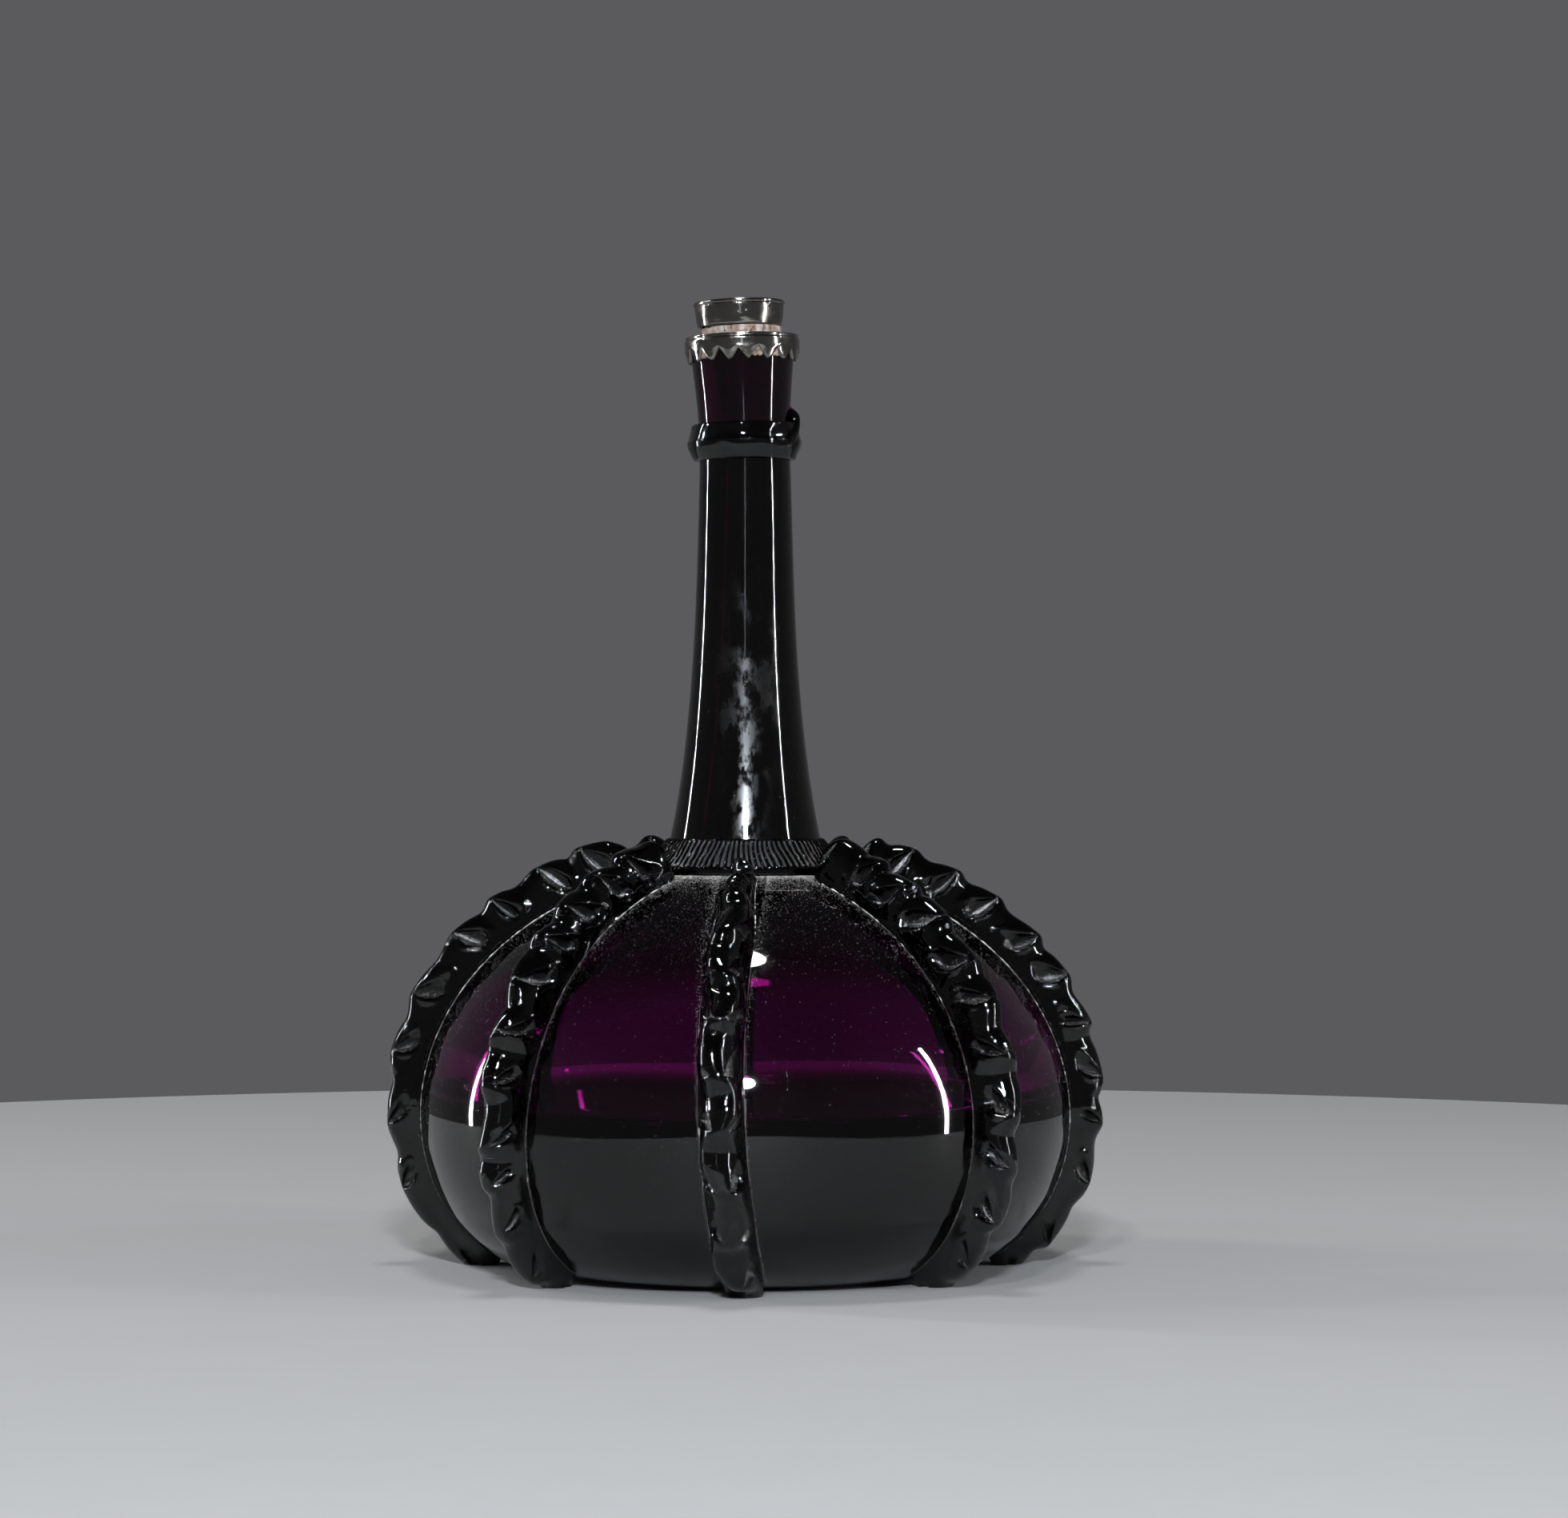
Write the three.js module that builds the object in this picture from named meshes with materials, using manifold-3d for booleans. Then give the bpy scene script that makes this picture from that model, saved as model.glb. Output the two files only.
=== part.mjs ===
// Squat free-blown bottle of very dark amethyst glass, with eight pinched ribs, a silver mouth mount
// and a silver-capped cork. Lengths are millimetres, angles degrees. It stands on z = 0 with +Z up,
// its axis is the Z axis, and its front faces -Y. An azimuth is counted from the front, towards +X.
import * as THREE from "three";
import { mergeVertices } from "three/addons/utils/BufferGeometryUtils.js";
import Module from "manifold-3d";

// Gap between pieces that touch on the real bottle
const clearance = 0.3;

// Body
const baseRadius = 50;
const baseRingWidth = 8;
const pushUpHeight = 20;
const bellyRadius = 81;
const bellyHeight = 38;
const domeRise = 63;
const bodyWall = 2.4;
const baseThickness = 5;

// Neck and mouth
const neckLength = 131.7;
const neckFootRadius = 20.5;
const neckWaistRadius = 10.7;
const neckTaperLength = 38;
const neckWall = 3;
const mouthRadius = 13.4;
const mouthFlareLength = 27;
const lipRounding = 1.2;
const leanAngle = 1.9;
const leanLength = 32;
const leanTopDrop = 8.6;

// Milled collar round the foot of the neck
const collarRadius = 26;
const collarRise = 7.5;
const collarEdge = 1.8;
const collarTopWall = 0.8;
const fluteCount = 96;
const fluteDepth = 0.5;

// String ring below the mouth, a wound trail with its end laid over it
const stringRingDrop = 30;
const stringRingHeight = 9.2;
const stringRingDepth = 3.1;
const tailAzimuth = 58;
const tailSweep = 42;
const tailRise = 5;
const tailThickness = 3.6;

// Pinched ribs, from the front one towards +X
const ribNames = ["front", "front_right", "right", "back_right", "back", "back_left", "left", "front_left"];
const ribSways = [-3.7, 1.2, 0, -2, 2.6, 1.5, 0, 2.4];
const ribPinches = [12, 12, 13, 12, 13, 12, 12, 12];
const ribWidth = 12;
const ribHeightFoot = 6.5;
const ribHeightBelly = 8.7;
const ribHeightShoulder = 11.3;
const ribFootAngle = -70;
const ribEndGap = 1;
const finThickness = 2.8;
const pinchRise = 1.2;
const crestZigzag = 0.5;

// Silver mount on the mouth
const mountHeight = 6.6;
const mountWall = 1.1;
const mountToothCount = 17;
const mountToothHeight = 2.9;
const mountLipWidth = 2.4;
const mountLipThickness = 0.8;

// Cork and its silver cap
const corkDepth = 22;
const corkShown = 2.4;
const capHeight = 6.6;
const capRadius = 11.2;
const capBottomRadius = 10.5;
const capWall = 0.8;
const capLidThickness = 1.1;
const capLidOverhang = 0.3;
const capLidDome = 0.3;
const capOffset = 0.4;

// Sides of the round pieces, and rings of a rib from one pinch to the next
const vesselSides = 48;
const smallSides = 36;
const ringsPerPinch = 3;

const degrees = Math.PI / 180;
const wasm = await Module();
wasm.setup();

const neckFootAngle = Math.acos(neckFootRadius / bellyRadius) / degrees;
const neckFootHeight = bellyHeight + domeRise * Math.sin(neckFootAngle * degrees);
const mouthHeight = neckFootHeight + neckLength;
const leanTop = mouthHeight - leanTopDrop;
const leanBottom = leanTop - leanLength;
const mountTop = mouthHeight + clearance + mountLipThickness;
const mountBottom = mountTop - mountHeight;
const ribTopAngle = Math.acos((collarRadius + ribEndGap + clearance) / bellyRadius) / degrees;
const capBottom = mountTop - mouthHeight + corkShown;
const lidBottom = capBottom + capHeight - capLidDome - capLidThickness;

function steps(from, to, count) {
  return Array.from({ length: count + 1 }, (_, i) => from + ((to - from) * i) / count);
}

function mix(a, b, share) {
  return a + (b - a) * share;
}

// A point of the body's outer surface and the direction out of it. The meridian angle is -90
// at the foot, 0 at the belly and 90 at the top of the dome.
function bodyPoint(angle, outwards = 0) {
  const out = Math.cos(angle * degrees);
  const up = Math.sin(angle * degrees);
  const centre = angle < 0 ? baseRadius : 0;
  const spread = bellyRadius - centre;
  const rise = angle < 0 ? bellyHeight : domeRise;
  const normal = new THREE.Vector2(out / spread, up / rise).normalize();
  return new THREE.Vector2(centre + spread * out, bellyHeight + rise * up).addScaledVector(normal, outwards);
}

function neckRadius(height) {
  const taper = Math.exp((neckFootHeight - height) / neckTaperLength);
  const flare = Math.max(0, 1 - (mouthHeight - height) / mouthFlareLength);
  const stem = neckWaistRadius + (neckFootRadius - neckWaistRadius) * taper;
  return mix(stem, mouthRadius, flare ** 1.5);
}

// Bends what was built round the straight axis, so that the mouth leans towards -X
function lean(point) {
  const full = leanAngle * degrees;
  const above = Math.max(0, point.z - leanBottom);
  const bent = Math.min(above, leanLength);
  const turn = (full * bent) / leanLength;
  const bendRadius = leanLength / full;
  const rest = above - bent;
  const aside = bendRadius * (1 - Math.cos(turn)) + rest * Math.sin(turn);
  const height = Math.min(point.z, leanBottom) + bendRadius * Math.sin(turn) + rest * Math.cos(turn);
  return point.set(point.x * Math.cos(turn) - aside, point.y, height + point.x * Math.sin(turn));
}

// A closed body of revolution round Z. The outline runs from low to high on its outer side.
function turned(outline, sides) {
  const geometry = new THREE.LatheGeometry(outline.map(([r, z]) => new THREE.Vector2(r, z)), sides);
  geometry.rotateX(Math.PI / 2);
  return merged(geometry);
}

// Rings of as many points each, joined into one closed body. Open rows get a cap at each end.
function lofted(rings, closed) {
  const size = rings[0].length;
  const index = [];
  const rows = closed ? rings.length : rings.length - 1;
  for (let row = 0; row < rows; row++) {
    const next = (row + 1) % rings.length;
    for (let i = 0; i < size; i++) {
      const j = (i + 1) % size;
      index.push(row * size + i, next * size + i, row * size + j);
      index.push(row * size + j, next * size + i, next * size + j);
    }
  }
  if (!closed) {
    const last = (rings.length - 1) * size;
    for (let i = 1; i < size - 1; i++) {
      index.push(0, i, i + 1);
      index.push(last, last + i + 1, last + i);
    }
  }
  const geometry = new THREE.BufferGeometry().setFromPoints(rings.flat());
  geometry.setIndex(index);
  return geometry;
}

function merged(geometry) {
  geometry.deleteAttribute("normal");
  geometry.deleteAttribute("uv");
  return mergeVertices(geometry, 1e-4);
}

function reshaped(geometry, change) {
  const position = geometry.attributes.position;
  for (let i = 0; i < position.count; i++) {
    const point = change(new THREE.Vector3().fromBufferAttribute(position, i));
    position.setXYZ(i, point.x, point.y, point.z);
  }
  return geometry;
}

function solid(geometry) {
  return new wasm.Manifold(
    new wasm.Mesh({
      numProp: 3,
      vertProperties: new Float32Array(geometry.attributes.position.array),
      triVerts: new Uint32Array(geometry.index.array),
    }),
  );
}

function surface(manifold) {
  const mesh = manifold.getMesh();
  const geometry = new THREE.BufferGeometry();
  geometry.setAttribute("position", new THREE.BufferAttribute(new Float32Array(mesh.vertProperties), 3));
  geometry.setIndex(Array.from(mesh.triVerts));
  return geometry;
}

// Materials
function amethystGlass() {
  return new THREE.MeshStandardMaterial({ color: 0x1a0418, roughness: 0.05, metalness: 0 });
}

function silver() {
  return new THREE.MeshStandardMaterial({ color: 0xb9b3a6, roughness: 0.22, metalness: 1 });
}

function oldCork() {
  return new THREE.MeshStandardMaterial({ color: 0x8f7765, roughness: 0.9, metalness: 0 });
}

// The blown vessel: pushed-up base, body, long neck and mouth, open right through the neck
function vesselGeometry() {
  const ringInner = baseRadius - baseRingWidth;
  const underside = steps(0, ringInner, 4).map((r) => [r, pushUpHeight * Math.cos((90 * degrees * r) / ringInner)]);
  const body = steps(-90, 0, 6).concat(steps(0, neckFootAngle, 10).slice(1));
  const outside = body.map((angle) => bodyPoint(angle).toArray());
  const neckTop = mouthHeight - lipRounding;
  const neck = steps(neckFootHeight, neckTop, 12).slice(1).map((z) => [neckRadius(z), z]);
  const lipRadius = neckRadius(neckTop);
  const lip = [
    [lipRadius - lipRounding * 0.3, mouthHeight - lipRounding * 0.3],
    [lipRadius - lipRounding, mouthHeight],
    [lipRadius - neckWall + lipRounding * 0.3, mouthHeight],
    [lipRadius - neckWall, mouthHeight - lipRounding * 0.5],
  ];
  const boreFoot = neckFootRadius - neckWall;
  const cavityAngle = Math.acos(boreFoot / (bellyRadius - bodyWall)) / degrees;
  const cavityTop = bellyHeight + (domeRise - bodyWall) * Math.sin(cavityAngle * degrees);
  const bore = steps(neckTop - lipRounding, cavityTop, 8).map((z) => [neckRadius(z) - neckWall, z]);
  const cavity = steps(cavityAngle, 0, 7).slice(1).map((angle) => bodyPoint(angle, -bodyWall).toArray());
  const floor = steps(0, 90, 4).slice(1).map((angle) => [
    baseRadius - bodyWall + (bellyRadius - baseRadius) * Math.cos(angle * degrees),
    bellyHeight - (bellyHeight - baseThickness) * Math.sin(angle * degrees),
  ]);
  const inside = steps(ringInner, 0, 4).map((r) => [
    r, baseThickness + pushUpHeight * Math.cos((90 * degrees * r) / ringInner),
  ]);
  const outline = [...underside, ...outside, ...neck, ...lip, ...bore, ...cavity, ...floor, ...inside];
  return reshaped(turned(outline, vesselSides), lean);
}

// Crest height over the body, from foot over belly to shoulder
function ribHeight(angle) {
  if (angle < 0) {
    return mix(ribHeightBelly, ribHeightFoot, Math.sin(angle * degrees) ** 2);
  }
  return mix(ribHeightBelly, ribHeightShoulder, Math.sin(Math.min(90, angle * 2) * degrees));
}

// Meridian angles at equal distances along the body, from the rib's foot to its top
function ribAngles(count) {
  const fine = steps(ribFootAngle, ribTopAngle, 280);
  const lengths = [0];
  for (let i = 1; i < fine.length; i++) {
    lengths.push(lengths[i - 1] + bodyPoint(fine[i]).distanceTo(bodyPoint(fine[i - 1])));
  }
  const total = lengths[lengths.length - 1];
  return steps(0, total, count).map((length) => fine[lengths.findIndex((known) => known >= length - 1e-9)]);
}

// A rib's section as [sideways, height], a round bulge or a thin fin where it is pinched
function ribSection(height, pinch, size) {
  const half = (ribWidth / 2) * size;
  const crest = (height - pinchRise * (1 - pinch)) * size;
  const bulge = [[half, 0], [half * 0.88, crest * 0.48], [half * 0.52, crest * 0.87], [0, crest]];
  const fin = [[half, 0], [finThickness * 0.75, crest * 0.36], [finThickness * 0.5, crest * 0.86], [0, crest]];
  const right = bulge.map(([side, up], i) => [mix(side, fin[i][0], pinch), mix(up, fin[i][1], pinch)]);
  const left = right.slice(0, 3).map(([side, up]) => [-side, up]);
  return [...right, ...left.reverse(), [0, 0]];
}

// One trail of glass laid up the body and pinched, cut flat where it stands on the ground
function ribGeometry(azimuth, sway, pinches) {
  const count = pinches * ringsPerPinch;
  const rings = ribAngles(count).map((angle, i) => {
    const along = i / count;
    const phase = i / ringsPerPinch;
    const pinch = i % ringsPerPinch === 0 && i > 0 && i < count ? 1 : 0;
    const end = Math.min(i, count - i);
    const size = end === 0 ? 0.6 : end === 1 ? 0.9 : 1;
    const turn = azimuth + sway * Math.sin(180 * degrees * along);
    const zigzag = crestZigzag * Math.sin(180 * degrees * phase);
    return ribSection(ribHeight(angle), pinch, size).map(([side, up]) => {
      const at = bodyPoint(angle, up + clearance);
      const shifted = up > 0 ? side + zigzag : side;
      const around = turn * degrees + shifted / at.x;
      return new THREE.Vector3(at.x * Math.sin(around), -at.x * Math.cos(around), at.y);
    });
  });
  const size = 4 * bellyRadius;
  const ground = new THREE.BoxGeometry(size, size, bellyHeight).translate(0, 0, -bellyHeight / 2);
  return surface(solid(lofted(rings, false)).subtract(solid(merged(ground))));
}

// The collar's flutes run down its sloping outer face, and its underside follows the shoulder
function collarGeometry() {
  const top = neckFootHeight + collarRise;
  const edgeAngle = Math.acos(collarRadius / bellyRadius) / degrees;
  const edge = bodyPoint(edgeAngle, clearance);
  const middleAngle = (edgeAngle + neckFootAngle) / 2;
  const middle = bodyPoint(middleAngle, clearance);
  const shoulder = neckFootHeight + clearance;
  const topInner = neckRadius(top) + clearance;
  const inner = neckRadius(shoulder) + 2 * clearance;
  const outline = [
    [edge.x, edge.y, 0.5], [edge.x, edge.y + collarEdge, 1],
    [mix(topInner, collarRadius, 0.45), mix(top, edge.y + collarEdge, 0.5), 1],
    [topInner + collarTopWall, top, 0], [topInner, top, 0],
    [inner, shoulder + clearance, 0], [middle.x, middle.y, 0],
  ];
  const rings = steps(0, 360, 2 * fluteCount).slice(1).map((azimuth, i) =>
    outline.map(([r, z, fluted]) => {
      const radius = r - (i % 2) * fluted * fluteDepth;
      return new THREE.Vector3(radius * Math.sin(azimuth * degrees), -radius * Math.cos(azimuth * degrees), z);
    }),
  );
  return lofted(rings, true);
}

// String ring: a trail of bluntly pointed section, and its tapering end that climbs off it
function stringRingGeometry() {
  const middle = mouthHeight - stringRingDrop + stringRingHeight / 2;
  const low = middle - stringRingHeight / 2;
  const high = middle + stringRingHeight / 2;
  const outer = neckRadius(middle) + stringRingDepth;
  const outline = [
    [neckRadius(low) + clearance, low], [mix(neckRadius(low), outer, 0.55), mix(low, middle, 0.25)],
    [outer - 0.25, mix(low, middle, 0.75)], [outer, mix(low, middle, 1.1)],
    [mix(neckRadius(high), outer, 0.6), mix(high, middle, 0.3)],
    [neckRadius(high) + clearance + 0.4, high], [neckRadius(high) + clearance, high],
    [neckRadius(middle) + clearance, middle], [neckRadius(low) + clearance, low],
  ];
  const band = turned(outline, smallSides);
  const rings = steps(0, 1, 8).map((along) => {
    const azimuth = (tailAzimuth + tailSweep * along) * degrees;
    const half = mix(tailThickness / 2, 0.5, along ** 2);
    const z = high - tailThickness * 0.35 + tailRise * along ** 1.5 - half;
    const inner = neckRadius(z) + clearance;
    return [[0, -1], [1.4, -0.9], [1.8, 0], [1.4, 0.9], [0, 1]].map(([out, up]) => {
      const r = inner + out * half;
      return new THREE.Vector3(r * Math.sin(azimuth), -r * Math.cos(azimuth), z + up * half);
    });
  });
  const ring = solid(band).add(solid(lofted(rings, false)));
  return reshaped(surface(ring), lean);
}

// Silver band with a pointed, vandyked lower edge, turned in over the lip of the glass
function mountGeometry() {
  const perTooth = 4;
  const fit = (z) => neckRadius(Math.min(z, mouthHeight)) + clearance;
  const widest = mix(mountBottom, mountTop, 0.55);
  const rings = steps(0, 360, mountToothCount * perTooth).slice(1).map((azimuth, i) => {
    const notch = 1 - Math.abs(((i % perTooth) / perTooth) * 2 - 1);
    const bottom = mountBottom + mountToothHeight * notch;
    const high = mountTop - mountLipThickness;
    const outline = [
      [fit(bottom), bottom], [fit(bottom) + mountWall * 0.8, bottom], [fit(widest) + mountWall, widest],
      [fit(high) + mountWall * 0.8, high], [fit(high) + mountWall * 0.3, mountTop],
      [fit(high) - mountLipWidth, mountTop], [fit(high) - mountLipWidth, high], [fit(high), high],
    ];
    return outline.map(([r, z]) => {
      const around = azimuth * degrees;
      return new THREE.Vector3(r * Math.sin(around), -r * Math.cos(around), z);
    });
  });
  return reshaped(lofted(rings, true), lean);
}

// Tapered cork. Its heights, like the cap's, are counted from the mouth along the leaning axis.
function corkGeometry() {
  const end = neckRadius(mouthHeight - corkDepth) - neckWall - clearance;
  const atMouth = neckRadius(mouthHeight) - neckWall - 2 * clearance;
  const head = capBottomRadius - capWall - clearance - capOffset;
  const outline = [
    [0, -corkDepth], [end - 0.8, -corkDepth], [end, 0.8 - corkDepth], [atMouth, 0],
    [capBottomRadius - 0.2, capBottom - clearance - 0.5], [capBottomRadius - 0.4, capBottom - clearance],
    [head, capBottom - clearance], [head, lidBottom - clearance], [0, lidBottom - clearance],
  ];
  return turned(outline, smallSides);
}

function capWallGeometry() {
  const top = lidBottom - clearance;
  const outline = [
    [capBottomRadius - capWall, capBottom], [capBottomRadius, capBottom],
    [mix(capBottomRadius, capRadius, 0.6), mix(capBottom, top, 0.35)], [capRadius, top],
    [capRadius - capWall, top], [capBottomRadius - capWall, capBottom],
  ];
  return turned(outline, smallSides);
}

function capLidGeometry() {
  const rim = capRadius + capLidOverhang;
  const top = lidBottom + capLidThickness;
  const outline = [
    [0, lidBottom], [rim - 0.3, lidBottom], [rim, lidBottom + 0.3], [rim, top - 0.4], [rim - 0.4, top],
    [rim * 0.6, top + capLidDome * 0.7], [0, top + capLidDome],
  ];
  return turned(outline, smallSides);
}

// Assembly: the stopper stands in a group of its own on the leaning mouth
function addPiece(group, name, geometry, material) {
  const mesh = new THREE.Mesh(geometry, material);
  mesh.name = name;
  group.add(mesh);
  return mesh;
}

const bottle = new THREE.Group();
addPiece(bottle, "vessel", vesselGeometry(), amethystGlass());
ribNames.forEach((name, i) => {
  const azimuth = (360 * i) / ribNames.length;
  addPiece(bottle, `rib_${name}`, ribGeometry(azimuth, ribSways[i], ribPinches[i]), amethystGlass());
});
addPiece(bottle, "neck_foot_collar", collarGeometry(), amethystGlass());
addPiece(bottle, "string_ring", stringRingGeometry(), amethystGlass());
addPiece(bottle, "mouth_mount", mountGeometry(), silver());

const stopper = new THREE.Group();
stopper.position.copy(lean(new THREE.Vector3(0, 0, mouthHeight)));
stopper.rotation.y = -leanAngle * degrees;
addPiece(stopper, "cork", corkGeometry(), oldCork());
addPiece(stopper, "cap_wall", capWallGeometry(), silver()).position.x = -capOffset;
addPiece(stopper, "cap_lid", capLidGeometry(), silver()).position.x = -capOffset;
bottle.add(stopper);

export default bottle;
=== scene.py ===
"""Dark amethyst glass bottle with pinched ribs, a silver mouth mount and a silver-capped cork.

Lengths are metres in the part's own frame: +Z up, the bottle's front faces -Y. A position round the
bottle is its azimuth, counted in degrees from the front towards +X. A position up the body is its
meridian angle: -90 degrees at the foot, 0 at the belly and 90 on the axis above it.
"""
import random
from bisect import bisect_left
from functools import partialmethod
from itertools import accumulate, pairwise
from math import acos, atan2, ceil, cos, degrees, dist, exp, hypot, pi, radians, sin, sqrt, tau
from types import SimpleNamespace

import bmesh
import bpy
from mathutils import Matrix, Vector, noise


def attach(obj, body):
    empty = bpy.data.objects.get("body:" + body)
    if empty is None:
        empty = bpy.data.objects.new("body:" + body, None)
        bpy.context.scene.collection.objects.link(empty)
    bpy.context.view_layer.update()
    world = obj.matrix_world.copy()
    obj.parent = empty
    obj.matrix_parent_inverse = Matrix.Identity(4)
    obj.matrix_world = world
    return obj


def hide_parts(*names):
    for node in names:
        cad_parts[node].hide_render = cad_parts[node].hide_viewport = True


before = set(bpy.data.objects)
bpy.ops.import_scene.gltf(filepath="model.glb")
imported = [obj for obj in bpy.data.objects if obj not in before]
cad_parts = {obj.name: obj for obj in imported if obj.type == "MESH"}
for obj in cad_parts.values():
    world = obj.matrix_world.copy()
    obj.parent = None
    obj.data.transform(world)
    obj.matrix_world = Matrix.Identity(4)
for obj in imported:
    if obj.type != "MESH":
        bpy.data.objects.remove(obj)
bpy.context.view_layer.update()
scene = bpy.context.scene

MM = 0.001

# Body of the bottle
BASE_RADIUS = 50 * MM
BASE_RING_WIDTH = 8 * MM
BASE_THICKNESS = 5 * MM
PUSH_UP_HEIGHT = 20 * MM
BELLY_RADIUS = 81 * MM
BELLY_HEIGHT = 38 * MM
DOME_RISE = 63 * MM
BODY_WALL = 1.7 * MM
CAVITY_TOP_ANGLE = 72

# The body's wall from the base up: thicknesses, and the meridian angles between which each is reached
WALLS = {
    "heel": (9 * MM, -90, -55), "belly": (2 * MM, -2, 4), "dome": (BODY_WALL, 3, 20),
    "shoulder": (4.5 * MM, 27, 64),
}

# Neck and mouth
NECK_LENGTH = 131.7 * MM
NECK_FOOT_RADIUS = 20.5 * MM
NECK_WAIST_RADIUS = 10.7 * MM
NECK_TAPER_LENGTH = 38 * MM
NECK_WALL = 3 * MM
NECK_THICK_WALL = 7.4 * MM
MOUTH_RADIUS = 13.4 * MM
MOUTH_FLARE_LENGTH = 27 * MM
LIP_ROUNDING = 1.2 * MM
LEAN = radians(1.9)
LEAN_LENGTH = 32 * MM
LEAN_TOP_DROP = 8.6 * MM

# Slow waves of the free-blown glass
WAVES_ON_NECK = 0.1 * MM
WAVES_ON_BODY = 0.22 * MM
WAVES_INSIDE = 1.8

# Ribs: name, sway to one side in degrees, number of pinches, and the power that gathers them towards
# the top (1 is even)
RIBS = (
    ("front", -3.7, 11.5, 1.0), ("front_right", 1.2, 11.5, 1.05), ("right", 0.0, 11.2, 1.1),
    ("back_right", -2.0, 11.5, 1.0), ("back", 2.6, 12.2, 1.0), ("back_left", 1.5, 11.5, 1.05),
    ("left", 0.0, 9.0, 1.3), ("front_left", 2.4, 12.2, 1.0),
)
FRONT_TRAIL = {"Zigzag": 1.6 * MM, "Depth": 0.36}
FRONT_TRAIL_THINS = (44, 66)
THIN_GIRTH = 0.6
THIN_CREST = 0.62
# Ribs with less dust beside them, and less of the painted highlight line low down
CLEANER_DULLER_RIBS = (0, 1, 7)
RIB_WIDTH = 11.2 * MM
RIB_HEIGHT_FOOT = 6.5 * MM
RIB_HEIGHT_BELLY = 8.7 * MM
RIB_HEIGHT_SHOULDER = 11.3 * MM
RIB_FOOT_ANGLE = -70
RIB_TOP_RADIUS = 26.2 * MM

# Collar and string ring
COLLAR_RADIUS = 26 * MM
COLLAR_RISE = 7.5 * MM
COLLAR_EDGE = 1.8 * MM
FLUTES = 96
FLUTE_DEPTH = 0.85 * MM
STRING_RING_DROP = 30 * MM
STRING_RING_HEIGHT = 9.2 * MM
STRING_RING_DEPTH = 3.1 * MM
TAIL_AZIMUTH = 52
TAIL_SWEEP = 34
TAIL_CLIMB = 6.4 * MM

# Mount
MOUNT_HEIGHT = 6.6 * MM
MOUNT_WALL = 1.1 * MM
MOUNT_TEETH = 17
MOUNT_TOOTH_HEIGHT = 2.9 * MM
MOUNT_LIP_WIDTH = 2.4 * MM
MOUNT_LIP_THICKNESS = 0.8 * MM
MOUNT_STEPS = MOUNT_TEETH * 42
DIRTY_NOTCHES = (17, 40, 128, 215, 318)
SEAT_GAP = 0.3 * MM

# Cork and cap
CORK_DEPTH = 22 * MM
CORK_SHOWN = 2.4 * MM
CAP_HEIGHT = 6.6 * MM
CAP_RADIUS = 11.2 * MM
CAP_BOTTOM_RADIUS = 10.5 * MM
CAP_WALL = 0.8 * MM
CAP_LID_THICKNESS = 1.1 * MM
CAP_OFFSET = 0.4 * MM

# What follows from these sizes. Heights of cork and cap count from the mouth along the leaning axis
NECK_FOOT_ANGLE = degrees(acos(NECK_FOOT_RADIUS / BELLY_RADIUS))
NECK_FOOT_HEIGHT = BELLY_HEIGHT + DOME_RISE * sin(radians(NECK_FOOT_ANGLE))
MOUTH_HEIGHT = NECK_FOOT_HEIGHT + NECK_LENGTH
LEAN_BOTTOM = MOUTH_HEIGHT - LEAN_TOP_DROP - LEAN_LENGTH
MOUNT_TOP = MOUTH_HEIGHT + SEAT_GAP + MOUNT_LIP_THICKNESS
MOUNT_BOTTOM = MOUNT_TOP - MOUNT_HEIGHT
CAP_BOTTOM = MOUNT_TOP - MOUTH_HEIGHT + CORK_SHOWN
LID_BOTTOM = CAP_BOTTOM + CAP_HEIGHT - CAP_LID_THICKNESS - SEAT_GAP

# Dust
CREASE_OFFSET = 5.46 * MM
CREASE_SINK = 0.06 * MM
DUST_LOWEST = -60
ALONG_RIB = 400

STAGE_RADIUS = 0.57


def mix(a, b, share):
    return a + (b - a) * share


def spread(start, end, count):
    """count + 1 numbers from start to end."""
    return [mix(start, end, i / count) for i in range(count + 1)]


def smooth(low, high, value):
    share = min(1.0, max(0.0, (value - low) / (high - low)))
    return share * share * (3 - 2 * share)


def body_arc(above):
    """Centre radius, reach and rise of the arc, for an angle or a height over the belly."""
    if above < 0:
        return BASE_RADIUS, BELLY_RADIUS - BASE_RADIUS, BELLY_HEIGHT
    return 0, BELLY_RADIUS, DOME_RISE


def body_normal(angle):
    """Radial and upward part of the direction out of the body."""
    _, reach, rise = body_arc(angle)
    out, up = cos(radians(angle)) / reach, sin(radians(angle)) / rise
    size = hypot(out, up)
    return out / size, up / size


def body_point(angle, outwards=0.0):
    """Radius and height of a point on the body, or of one outside it."""
    centre, reach, rise = body_arc(angle)
    out, up = cos(radians(angle)), sin(radians(angle))
    radial, upward = body_normal(angle)
    return centre + reach * out + outwards * radial, BELLY_HEIGHT + rise * up + outwards * upward


def angle_at(radius):
    """The upper body's meridian angle at that radius."""
    return degrees(acos(radius / BELLY_RADIUS))


def neck_radius(height):
    taper = exp((NECK_FOOT_HEIGHT - height) / NECK_TAPER_LENGTH)
    flare = max(0.0, 1 - (MOUTH_HEIGHT - height) / MOUTH_FLARE_LENGTH)
    stem = NECK_WAIST_RADIUS + (NECK_FOOT_RADIUS - NECK_WAIST_RADIUS) * taper
    return mix(stem, MOUTH_RADIUS, flare ** 1.5)


def around(radius, azimuth, height):
    turn = radians(azimuth)
    return Vector((radius * sin(turn), -radius * cos(turn), height))


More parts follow.
